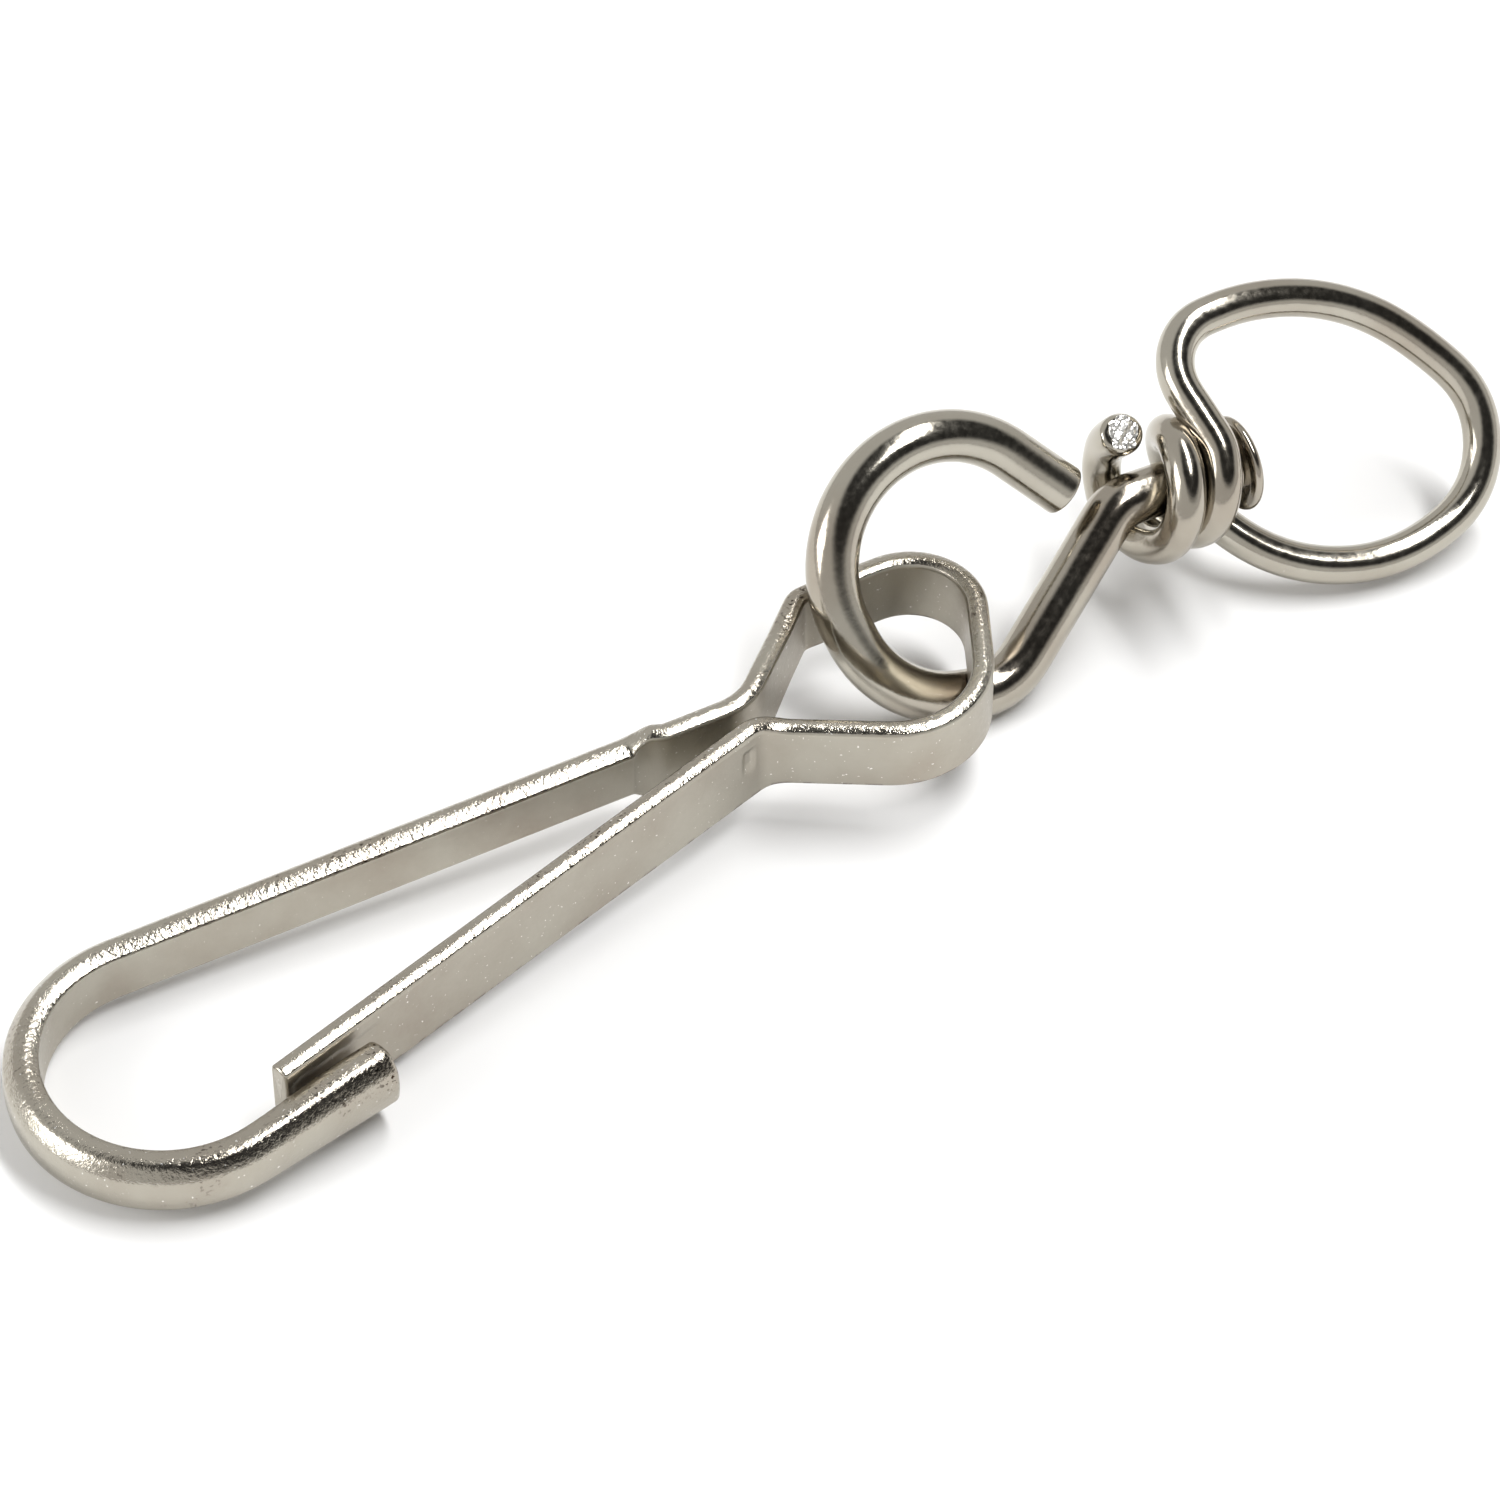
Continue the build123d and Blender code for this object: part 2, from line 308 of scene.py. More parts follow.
@dataclass
class SweptWire:
    """A section carried along a path, closed at both ends."""

    name: str
    centre: Array
    outward: Array
    upward: Array
    outline: Array
    start: EndShape
    finish: EndShape
    marks: dict[Mark, Array] = field(default_factory=dict)
    torn: float = 0.0

    def cap(self, at_start: bool) -> tuple[Array, Array]:
        """Rows that close one end.

        Each row is the end outline drawn in towards its middle and moved along
        the path's direction; a torn face gets an uneven height.

        Args:
            at_start: the first end of the path, or else the last.

        Returns:
            The rows of points, from the wire outward, and the middle point.
        """
        row = 0 if at_start else -1
        shape = self.start if at_start else self.finish
        along = np.cross(self.outward[row], self.upward[row])
        step = self.centre[0] - self.centre[1] if at_start else self.centre[-1] - self.centre[-2]
        along = along if along @ step > 0 else -along
        profile = end_profile(shape)
        last = profile[-1] if len(profile) else np.zeros(2)
        half = np.abs(self.outline[row]).max(axis=0)
        inner = np.linspace(1.0, 0.0, CAP_ROWS)[1:-1]
        factors = np.vstack([1.0 - profile[:, 1:] / half, (1.0 - last[1] / half) * inner[:, None]])
        past = np.r_[profile[:, 0], np.full(len(inner), last[0])]
        flat = factors[:, None, :] * self.outline[row][None]
        height = np.repeat(past[:, None], flat.shape[1], axis=1)
        if shape is EndShape.PINCHED and self.torn:
            a, b = flat[..., 0], flat[..., 1]
            angle = np.arctan2(b, a)
            ragged = (1.0 + 0.16 * np.sin(2.0 * angle + 1.0) + 0.10 * np.sin(5.0 * angle)
                      + 0.07 * np.sin(9.0 * angle + 2.0))
            drawn = smoothstep(np.arange(len(past), dtype=float), 2.0, len(profile) - 1.0)[:, None, None]
            flat = flat * (1.0 + (ragged[..., None] - 1.0) * drawn)
            a, b = flat[..., 0], flat[..., 1]
            rough = (np.sin(9.1 * a + 2.0 * b) * np.cos(7.3 * b - 1.0)
                     + 0.6 * np.sin(17.0 * a - 13.0 * b + 0.7))
            inside = smoothstep(np.arange(len(past), dtype=float), len(profile) - 1.5, len(profile) + 1.0)
            height = height + self.torn * rough * inside[:, None]
        points = (self.centre[row] + flat[..., :1] * self.outward[row] + flat[..., 1:] * self.upward[row]
                  + height[..., None] * along)
        return points, self.centre[row] + last[0] * along

    def build(self) -> bpy.types.Object:
        """Makes the closed mesh: rows of the section, then fans at both middles.

        Returns:
            The new object, at the origin.
        """
        body = (self.centre[:, None] + self.outline[..., :1] * self.outward[:, None]
                + self.outline[..., 1:] * self.upward[:, None])
        head, head_mid = self.cap(True)
        tail, tail_mid = self.cap(False)
        rows = np.concatenate([head[::-1], body, tail])
        count, around = rows.shape[:2]
        index = np.arange(count * around).reshape(count, around)
        side = np.roll(index, -1, axis=1)
        quads = np.stack([index[:-1], side[:-1], side[1:], index[1:]], axis=-1).reshape(-1, 4)
        first = np.full(around, count * around)
        fans = np.vstack([np.column_stack([side[0], index[0], first]),
                          np.column_stack([index[-1], side[-1], first + 1])])
        points = np.vstack([rows.reshape(-1, 3), head_mid, tail_mid]) * MM
        triangles = np.vstack([quads[:, [0, 1, 2]], quads[:, [0, 2, 3]], fans])
        a, b, c = (points[triangles[:, i]] for i in range(3))
        if np.sum(a * np.cross(b, c)) < 0:
            quads, fans = quads[:, ::-1], fans[:, ::-1]
        mesh = bpy.data.meshes.new(self.name)
        mesh.from_pydata(points.tolist(), [], quads.tolist() + fans.tolist())
        mesh.polygons.foreach_set("use_smooth", np.ones(len(mesh.polygons), dtype=bool))
        none = np.zeros(self.outline.shape[:2])
        for mark, values in ((mark, self.marks.get(mark, none)) for mark in (Mark.CROWN, Mark.UNDER)):
            padded = np.concatenate([np.repeat(values[:1], len(head), axis=0), values,
                                     np.repeat(values[-1:], len(tail), axis=0)]).ravel()
            layer = mesh.attributes.new(mark.value, "FLOAT", "POINT")
            layer.data.foreach_set("value", np.r_[padded, padded[0], padded[-1]].astype(np.float32))
        obj = bpy.data.objects.new(self.name, mesh)
        bpy.context.scene.collection.objects.link(obj)
        ends = np.zeros(len(quads) + len(fans), dtype=np.int32)
        if self.start is EndShape.PINCHED:
            ends[: around * TORN_ROWS] = 1
            ends[len(quads): len(quads) + around] = 1
        mesh.polygons.foreach_set("material_index", ends)
        self.keep_flush_crisp(mesh, index, len(head), len(tail))
        mesh.update()
        return obj

    def keep_flush_crisp(self, mesh: bpy.types.Mesh, index: Array, head: int, tail: int) -> None:
        """Marks the rim of a flush end sharp, so no shade shows where two pieces meet.

        Args:
            mesh: finished mesh.
            index: point numbers by row.
            head: rows of the first cap.
            tail: rows of the last cap.
        """
        rims = []
        if self.start is EndShape.FLUSH:
            rims.append(index[head])
        if self.finish is EndShape.FLUSH:
            rims.append(index[len(index) - 1 - tail])
        if not rims:
            return
        ends = np.empty(len(mesh.edges) * 2, dtype=np.int32)
        mesh.edges.foreach_get("vertices", ends)
        ends = ends.reshape(-1, 2)
        crisp = np.zeros(len(ends), dtype=bool)
        for rim in rims:
            crisp |= np.isin(ends, rim).all(axis=1)
        mesh.edges.foreach_set("use_edge_sharp", crisp)


# Finishes -------------------------------------------------------------------------


def linear(hex_colour: str) -> tuple[float, float, float, float]:
    """sRGB hex colour as linear RGBA."""
    parts = np.array([int(hex_colour[i:i + 2], 16) for i in (1, 3, 5)]) / 255.0
    parts = np.where(parts <= 0.04045, parts / 12.92, ((parts + 0.055) / 1.055) ** 2.4)
    return (float(parts[0]), float(parts[1]), float(parts[2]), 1.0)


def per_metre(size_mm: float) -> float:
    """Texture scale whose features are size_mm across."""
    return 1.0 / (size_mm * MM)


def add_node(tree: bpy.types.NodeTree, kind: str, settings: dict[str | int, object] | None = None,
             links: dict[str | int, bpy.types.NodeSocket] | None = None) -> bpy.types.Node:
    """Adds one node with its settings, values and links.

    Args:
        tree: node tree to add to.
        kind: Blender's node type name.
        settings: property or input name to value.
        links: input name or number to the socket that feeds it.

    Returns:
        The new node.
    """
    node = tree.nodes.new(kind)
    for key, value in (settings or {}).items():
        if isinstance(key, int) or key in node.inputs:
            node.inputs[key].default_value = value
        else:
            setattr(node, key, value)
    for key, socket in (links or {}).items():
        tree.links.new(socket, node.inputs[key])
    return node


@dataclass(frozen=True)
class NickelPlate:
    """Nickel plate over drawn steel wire, tumbled before plating.

    Tumbling leaves a fine orange peel on every curved edge, which breaks dark
    reflections into a speckled band; rolled flats are satin and even.
    """

    name: str
    colour: str = "#B5B0A4"        # warm grey of nickel, with its fine haze
    shade: str = "#A1978A"         # slightly yellowed plate in sheltered stretches
    pit: str = "#3A2C22"           # steel showing brown in pinholes
    painted_glint: str = "#F4F2EE"         # painted glint: near-white specks standing in for pinprick reflections
    flat_roughness: float = 0.36
    edge_roughness: float = 0.17
    peel_mm: float = 0.16          # orange peel of the tumbled surface
    peel_depth_mm: float = 0.026
    dent_mm: float = 1.1           # soft waviness of hand-sized tooling
    dent_depth_mm: float = 0.012
    glint_level: float = 0.705          # noise level above which a painted glint shows
    cloud_mm: float = 3.5          # patches of haze
    pinhole_and_glint_mm: float = 0.12       # pinholes, and the size of the painted glints
    chip_mm: float = 0.45          # worn chips along the lower edge

    def make(self) -> bpy.types.Material:
        """Builds the material.

        Returns:
            A metal whose roughness and peel follow the crowned edges.
        """
        material = bpy.data.materials.new(self.name)
        material.use_nodes = True
        tree = material.node_tree
        tree.nodes.clear()
        place = add_node(tree, "ShaderNodeTexCoord").outputs["Object"]
        peel = add_node(tree, "ShaderNodeTexNoise", {"Scale": per_metre(self.peel_mm), "Detail": 3.0,
                                                     "Roughness": 0.62}, {"Vector": place}).outputs["Fac"]
        dents = add_node(tree, "ShaderNodeTexNoise", {"Scale": per_metre(self.dent_mm), "Detail": 1.0},
                         {"Vector": place}).outputs["Fac"]
        cloud = add_node(tree, "ShaderNodeTexNoise", {"Scale": per_metre(self.cloud_mm), "Detail": 4.0},
                         {"Vector": place}).outputs["Fac"]
        pinholes_and_glints = add_node(tree, "ShaderNodeTexNoise", {"Scale": per_metre(self.pinhole_and_glint_mm), "Detail": 2.0},
                         {"Vector": place}).outputs["Fac"]
        crown = add_node(tree, "ShaderNodeAttribute", {"attribute_name": Mark.CROWN.value}).outputs["Fac"]
        under = add_node(tree, "ShaderNodeAttribute", {"attribute_name": Mark.UNDER.value}).outputs["Fac"]
        tone = add_node(tree, "ShaderNodeMapRange", {"From Min": 0.42, "From Max": 0.72, "To Max": 0.8},
                        {"Value": cloud}).outputs["Result"]
        plate = add_node(tree, "ShaderNodeMix", {"data_type": "RGBA", 6: linear(self.colour),
                                                 7: linear(self.shade)}, {0: tone}).outputs[2]
        # Painted glints: the highest noise specks are coloured near white, standing in for pinprick
        # reflections of the lights.
        glint_mask = add_node(tree, "ShaderNodeMapRange",
                         {"From Min": self.glint_level, "From Max": self.glint_level + 0.04},
                         {"Value": pinholes_and_glints}).outputs["Result"]
        bright = add_node(tree, "ShaderNodeMix", {"data_type": "RGBA", 7: linear(self.painted_glint)},
                          {0: glint_mask, 6: plate}).outputs[2]
        chips = add_node(tree, "ShaderNodeTexNoise", {"Scale": per_metre(self.chip_mm), "Detail": 3.0},
                         {"Vector": place}).outputs["Fac"]
        chipped = add_node(tree, "ShaderNodeMapRange", {"From Min": 0.50, "From Max": 0.54},
                           {"Value": chips}).outputs["Result"]
        bare = add_node(tree, "ShaderNodeMath", {"operation": "MULTIPLY"}, {0: chipped, 1: under}).outputs[0]
        pocked = add_node(tree, "ShaderNodeMapRange", {"From Min": 0.54, "From Max": 0.62},
                          {"Value": cloud}).outputs["Result"]
        pit = add_node(tree, "ShaderNodeMapRange", {"From Min": 0.40, "From Max": 0.36},
                       {"Value": pinholes_and_glints}).outputs["Result"]
        pits = add_node(tree, "ShaderNodeMath", {"operation": "MULTIPLY"}, {0: pocked, 1: pit}).outputs[0]
        pits = add_node(tree, "ShaderNodeMath", {"operation": "MULTIPLY"}, {0: pits, 1: crown}).outputs[0]
        flaw = add_node(tree, "ShaderNodeMath", {"operation": "MAXIMUM"}, {0: pits, 1: bare}).outputs[0]
        worn = add_node(tree, "ShaderNodeMix", {"data_type": "RGBA", 7: linear(self.pit)},
                        {0: flaw, 6: bright})
        level = add_node(tree, "ShaderNodeMapRange",
                         {"To Min": self.flat_roughness, "To Max": self.edge_roughness},
                         {"Value": crown}).outputs["Result"]
        wander = add_node(tree, "ShaderNodeMapRange", {"From Min": 0.3, "From Max": 0.7, "To Min": -0.04,
                                                       "To Max": 0.06}, {"Value": peel}).outputs["Result"]
        rough = add_node(tree, "ShaderNodeMath", {"operation": "ADD"}, {0: level, 1: wander}).outputs[0]
        broad = add_node(tree, "ShaderNodeBump", {"Strength": 1.0, "Distance": self.dent_depth_mm * MM},
                         {"Height": dents}).outputs["Normal"]
        depth = add_node(tree, "ShaderNodeMapRange", {"To Min": 0.30}, {"Value": crown}).outputs["Result"]
        relief = add_node(tree, "ShaderNodeMath", {"operation": "MULTIPLY"}, {0: peel, 1: depth}).outputs[0]
        fine = add_node(tree, "ShaderNodeBump", {"Strength": 1.0, "Distance": self.peel_depth_mm * MM},
                        {"Height": relief, "Normal": broad}).outputs["Normal"]
        shader = add_node(tree, "ShaderNodeBsdfPrincipled", {"Metallic": 1.0},
                          {"Base Color": worn.outputs[2], "Roughness": rough, "Normal": fine})
        add_node(tree, "ShaderNodeOutputMaterial", {}, {"Surface": shader.outputs["BSDF"]})
        return material


@dataclass(frozen=True)
class TornSteel:
    """Bare steel where cutters tore the wire: bright, coarse and facetted."""

    name: str = "torn_bare_steel"
    colour: str = "#F2F1EE"
    grain_mm: float = 0.14

    def make(self) -> bpy.types.Material:
        """Builds the material.

        Returns:
            A bright metal with a coarse crystalline relief.
        """
        material = bpy.data.materials.new(self.name)
        material.use_nodes = True
        tree = material.node_tree
        tree.nodes.clear()
        place = add_node(tree, "ShaderNodeTexCoord").outputs["Object"]
        facets = add_node(tree, "ShaderNodeTexVoronoi", {"Scale": per_metre(self.grain_mm)},
                          {"Vector": place})
        relief = add_node(tree, "ShaderNodeBump", {"Strength": 1.0, "Distance": 0.05 * MM},
                          {"Height": facets.outputs["Distance"]}).outputs["Normal"]
        shader = add_node(tree, "ShaderNodeBsdfPrincipled", {"Metallic": 1.0, "Roughness": 0.30,
                                                             "Base Color": linear(self.colour)},
                          {"Normal": relief})
        add_node(tree, "ShaderNodeOutputMaterial", {}, {"Surface": shader.outputs["BSDF"]})
        return material


STRIP_PLATE = NickelPlate("nickel_plate_on_rolled_strip")
WIRE_PLATE = NickelPlate("bright_nickel_plate_on_round_wire", flat_roughness=0.15, peel_mm=0.20,
                         peel_depth_mm=0.010, dent_mm=2.2, dent_depth_mm=0.03, glint_level=0.78)


def dress(piece: bpy.types.Object, slot: str, *materials: bpy.types.Material) -> None:
    """Gives a piece its materials.

    Args:
        piece: object to dress.
        slot: not used.
        materials: material for each slot number.
    """
    for material in materials:
        piece.data.materials.append(material)


# Sub-assemblies ---------------------------------------------------------------------


@dataclass
class HookAndGate:
    """The hook's wire from nose to loop, and the gate leaf at its far end."""

    bow_centre: tuple[float, float] = (-19.97, -2.92)
    bow_radius: float = 4.17           # centre line
    bow_sweep: float = 192.0
    nose_length: float = 4.35
    spine_y: float = 1.25
    thick_end: float = -3.3
    neck_y: float = 0.82
    loop_corners: tuple[tuple[float, float], ...] = (
        (0.33, 0.82), (3.69, 3.955), (9.60, 3.955), (6.13, -3.54))
    loop_radii: tuple[float, ...] = (1.90, 0.42, 1.98, 2.75)
    root: tuple[float, float] = (0.28, -0.151)
    root_radius: float = 1.05
    gate_slope: float = 16.6
    gate_length: float = 18.76
    neck_half: float = 1.37
    loop_half: float = 1.19
    gate_half: float = 1.44
    strip_thick: float = 0.65
    strip_crown: float = 0.12          # bulge of the strip's rolled edges
    nose_gain: float = 0.12            # how much the nose is swollen
    nose_sink: float = 0.06            # how far it is moved inwards
    recess_length: float = 3.25
    recess_fade: float = 0.30
    recess_depth: float = 0.06
    die_at: float = 0.75               # die mark's middle past the root
    die_up: float = 0.42               # and above the strip's middle
    die_depth: float = 0.07
    die_lip: float = 0.35              # share of the lip pushed up round the mark
    lip_height: float = 0.04
    step: float = 0.10

    def path(self) -> tuple[Array, float, float]:
        """Centre line from the nose round to the gate's tip.

        Straight runs and arcs in the hook plane, evened out.

        Returns:
            Flat points, and the distances along them of the end of the thick
            section and of the root bend.
        """
        end = radians(90.0 + self.bow_sweep)
        centre = np.array(self.bow_centre)
        bow = np.linspace(end, pi / 2, 160)
        bow = centre + self.bow_radius * np.column_stack([np.cos(bow), np.sin(bow)])
        tip = bow[0] + self.nose_length * np.array([-sin(end), cos(end)])
        slope = radians(self.gate_slope)
        gate_tip = np.array(self.root) - self.gate_length * np.array([cos(slope), sin(slope)])
        rest = filleted([(self.thick_end + 0.9, self.neck_y), *self.loop_corners, self.root, tuple(gate_tip)],
                        [*self.loop_radii, self.root_radius])
        rough = np.vstack([tip, bow, [self.thick_end, self.spine_y], rest])
        flat = even_path(rough, self.step, 0.13)
        lengths = np.r_[0.0, np.cumsum(np.linalg.norm(np.diff(flat, axis=0), axis=1))]
        shoulder = lengths[np.argmin(np.linalg.norm(flat - [self.thick_end, self.spine_y], axis=1))]
        root = lengths[np.argmin(np.linalg.norm(flat - np.array(self.root), axis=1))]
        return flat, float(shoulder), float(root)

    def sections(self, along: Array, shoulder: float, root: float) -> Array:
        """Section at each point of the path.

        The thick half-flattened section turns into the strip at the shoulder;
        the strip's height goes from neck to loop to gate.

        Args:
            along: distance along the wire.
            shoulder: where the thick section ends.
            root: where the gate is bent.

        Returns:
            One outline for each point.
        """
        thick = box_outline(thick=0.96, tall=1.66, inner_r=0.06, outer_r=0.34, crown=0.14, dome=0.14)
        thick = thick + [-0.07, 0.0]
        swell = smoothstep(along, 4.6, 0.8)[:, None, None]
        nose = 1.0 + self.nose_gain * swell
        strip = box_outline(thick=self.strip_thick, tall=2.0, inner_r=0.07, outer_r=0.07, crown=0.0, dome=0.0)
        loop_from = shoulder + 4.2
        to_loop = smoothstep(along, loop_from, loop_from + 3.0)
        to_gate = smoothstep(along, root - 0.9, root + 0.5)
        half = (self.neck_half + (self.loop_half - self.neck_half) * to_loop
                + (self.gate_half - self.loop_half) * to_gate)
        rise = np.sign(strip[:, 1]) * smoothstep(np.abs(strip[:, 1]), 0.0, 1.0) ** 3
        flat_part = half[:, None] - self.strip_crown - 1.0
        lift = flat_part * strip[None, :, 1]
        across = np.clip(strip[:, 0] / (self.strip_thick / 2), -1, 1)
        bulge = rise * self.strip_crown * (1.0 - across**2)
        strips = np.stack([np.broadcast_to(strip[:, 0], lift.shape), strip[:, 1] + lift + bulge], axis=-1)
        mix = smoothstep(along, shoulder - 0.25, shoulder + 0.65)[:, None, None]
        thick = thick * nose - np.array([self.nose_sink, 0.0]) * swell
        return thick * (1.0 - mix) + strips * mix

    def press_marks(self, outline: Array, along: Array, root: float) -> Array:
        """Coined recess for the nose at the gate's tip, and the die mark at its root.

        The outer face sinks by a depth times smooth ramps along and across.

        Args:
            outline: sections of the gate piece.
            along: distance along the wire of each section.
            root: where the gate is bent.

        Returns:
            The sections with both marks.
        """
        outline = outline.copy()
        up = outline[..., 1]
        outer = outline[..., 0] > 0.2
        tip = along[-1]
        ledge = 0.86 + 0.05 * np.sin(2.1 * along + 0.4) + 0.03 * np.sin(5.3 * along)
        recess_end = tip - self.recess_length
        recess = (smoothstep(along, recess_end - self.recess_fade, recess_end)
                  * smoothstep(tip - along, 0.10, 0.22))[:, None]
        recess = recess * smoothstep(ledge[:, None] - up, 0.0, 0.10)
        beside = np.abs((along - root)[:, None] - self.die_at)
        above = np.abs(up - self.die_up)
        mark = smoothstep(beside, 0.22, 0.16) * smoothstep(above, 0.46, 0.38)
        rim = self.die_lip * smoothstep(beside, 0.30, 0.22) * smoothstep(above, 0.54, 0.46)
        lip = self.lip_height * (rim - self.die_lip * mark)
        outline[..., 0] -= np.where(outer, self.recess_depth * recess + self.die_depth * mark - lip, 0.0)
        return outline

    def marks(self, outline: Array, along: Array) -> dict[Mark, Array]:
        """Point values for the finish: crowned edges and the lower edge."""
        half = outline[..., 1].max(axis=1)[:, None]
        height = outline[..., 1] / half
        thick = np.ptp(outline[..., 0], axis=1)[:, None]
        rounding = smoothstep(thick[:, 0], 0.75, 1.0)[:, None]
        strip_edge = smoothstep(np.abs(height), 0.90, 0.95)
        wire_edge = np.maximum(smoothstep(np.abs(height), 0.72, 0.86),
                               smoothstep(outline[..., 0], -0.2, 0.25))
        crown = strip_edge * (1 - rounding) + wire_edge * rounding
        under = smoothstep(-height, 0.80, 0.95) * (1 - rounding)
        return {Mark.CROWN: crown, Mark.UNDER: under}

    def make(self, plate: bpy.types.Material) -> list[bpy.types.Object]:
        """Builds the hook wire and the gate leaf.

        Args:
            plate: nickel plate of the strip.

        Returns:
            Both pieces.
        """
        plane = hook_plane()
        flat, shoulder, root = self.path()
        centre = plane.lift(flat)
        along = np.r_[0.0, np.cumsum(np.linalg.norm(np.diff(flat, axis=0), axis=1))]
        tangent = unit(np.gradient(centre, axis=0))
        outward = unit(np.cross(plane.normal, tangent))
        upward = np.repeat(plane.normal[None], len(centre), axis=0)
        outline = self.sections(along, shoulder, root)
        split = int(np.searchsorted(along, root - 1.7))
        pieces = []
        for name, part, first, last in (
                ("hook_bow_spine_loop", slice(0, split + 1), EndShape.NOSE, EndShape.FLUSH),
                ("gate_spring_leaf", slice(split, None), EndShape.FLUSH, EndShape.SHEARED)):
            shape = outline[part]
            if first is EndShape.FLUSH:
                shape = self.press_marks(shape, along[part], root)
            wire = SweptWire(name, centre[part], outward[part], upward[part], shape, first, last,
                             self.marks(shape, along[part]))
            piece = wire.build()
            dress(piece, "nickel_strip", plate)
            pieces.append(piece)
        hook, gate = pieces
        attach(hook, "hook")
        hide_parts("hook_wire")
        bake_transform(gate)
        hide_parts("gate_leaf")
        return pieces


@dataclass
class SwivelLink:
    """Round wire link: an open eye, a shank on the swivel axis and its button."""

    eye_at: tuple[float, float, float] = (8.178, 2.955, 1.70)
    eye_tilt: float = 54.0
    eye_radius: float = 3.80
    wire: float = 1.60
    open_from: float = 42.0
    tip: float = 2.14
    side: float = 195.0
    long: float = 0.35
    round_to: float = 260.0
    run: float = 1.50
    slant: float = 41.0
    slant_radius: float = 2.40
    shank_radius: float = 1.50
    shank: float = 9.94
    step: float = 0.08

    @property
    def centre(self) -> Array:
        """Eye's middle in the row frame."""
        return np.array(REFERENCE) + np.array(self.eye_at)

    def plane(self) -> Plane:
        """Plane of the bent wire, which holds the swivel axis."""
        tilt = radians(self.eye_tilt)
        return Plane(self.centre, np.array([1.0, 0.0, 0.0]), np.array([0.0, cos(tilt), sin(tilt)]))

    def path(self) -> Array:
        """Centre line from the open tip round the eye and out along the axis.

        A short straight, two arcs of the eye's radius with a short straight
        between them, then a slanting run and the shank joined by arcs.

        Returns:
            Flat points of the link's plane.
        """
        start, side, end = (radians(a) for a in (self.open_from, self.side, self.round_to))
        first = np.linspace(start, side, 120)
        second = np.linspace(side, end, 50)
        shift = self.long * np.array([-sin(side), cos(side)])
        eye = self.eye_radius * np.column_stack([np.cos(first), np.sin(first)])
        low = shift + self.eye_radius * np.column_stack([np.cos(second), np.sin(second)])
        tip = eye[0] + self.tip * np.array([sin(start), -cos(start)])
        corner = low[-1] + self.run * np.array([-sin(end), cos(end)])
        meets = np.array([corner[0] - corner[1] / tan(radians(self.slant)), 0.0])
        tail = filleted([tuple(low[-1]), tuple(corner), tuple(meets), (self.shank, 0.0)],
                        [self.slant_radius, self.shank_radius])
        return even_path(np.vstack([tip, eye, low, tail[1:]]), self.step, 0.16)

    def make(self, plate: bpy.types.Material) -> bpy.types.Object:
        """Builds the link.

        Args:
            plate: nickel plate of the round wire.

        Returns:
            The link.
        """
        plane = self.plane()
        centre = plane.lift(self.path())
        tangent = unit(np.gradient(centre, axis=0))
        outward = unit(np.cross(plane.normal, tangent))
        upward = np.repeat(plane.normal[None], len(centre), axis=0)
        outline = np.repeat(round_outline()[None] * self.wire / 2, len(centre), axis=0)
        piece = SweptWire("swivel_link_wire", centre, outward, upward, outline,
                          EndShape.SHEARED, EndShape.BUTTON).build()
        dress(piece, "nickel_wire", plate)
        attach(piece, "link")
        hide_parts("swivel_link")
        return piece


